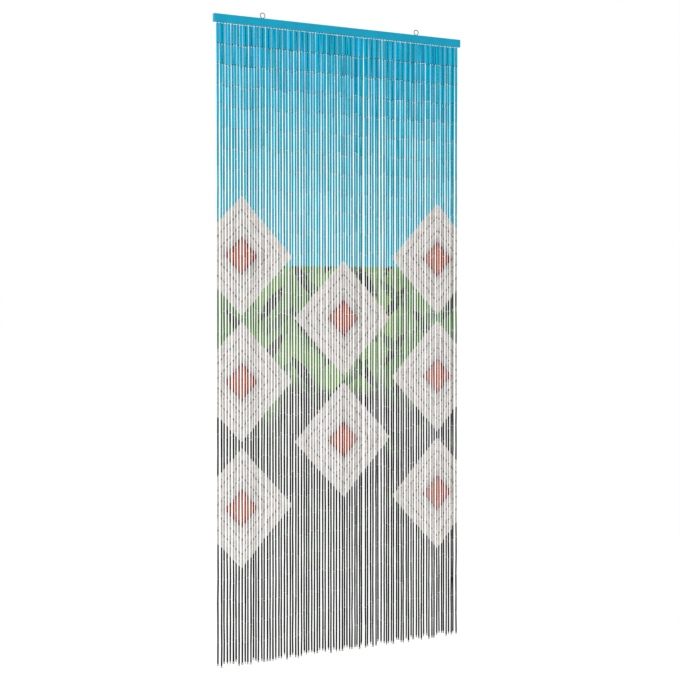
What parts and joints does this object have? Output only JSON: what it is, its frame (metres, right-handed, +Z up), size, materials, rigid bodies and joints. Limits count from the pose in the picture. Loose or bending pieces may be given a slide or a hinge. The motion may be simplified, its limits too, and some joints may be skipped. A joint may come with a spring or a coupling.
{
  "type": "bamboo door curtain with header bar",
  "caption": "Door curtain of hollow bamboo beads on wire links, hung in strands from a painted wooden header bar with two screw eyes.",
  "frame": {"origin": "middle of the header bar's top face", "axes": "+X along the header bar, to the right as seen from the front; +Y towards the back, where the wall or door frame is; +Z up"},
  "size_m": [0.9, 0.012, 2.0263],
  "materials": {
    "painted_wood": "satin turquoise paint on a planed softwood bar",
    "painted_bamboo": "matt paint on bamboo, turquoise at the top, green in the middle and near black below",
    "zinc_wire": "dull zinc plating"
  },
  "bodies": {
    "root": {"header_bar": "painted_wood", "eye_left": "zinc_wire", "eye_right": "zinc_wire", "strands_left": "painted_bamboo", "strands_right": "painted_bamboo"}
  },
  "joints": []
}
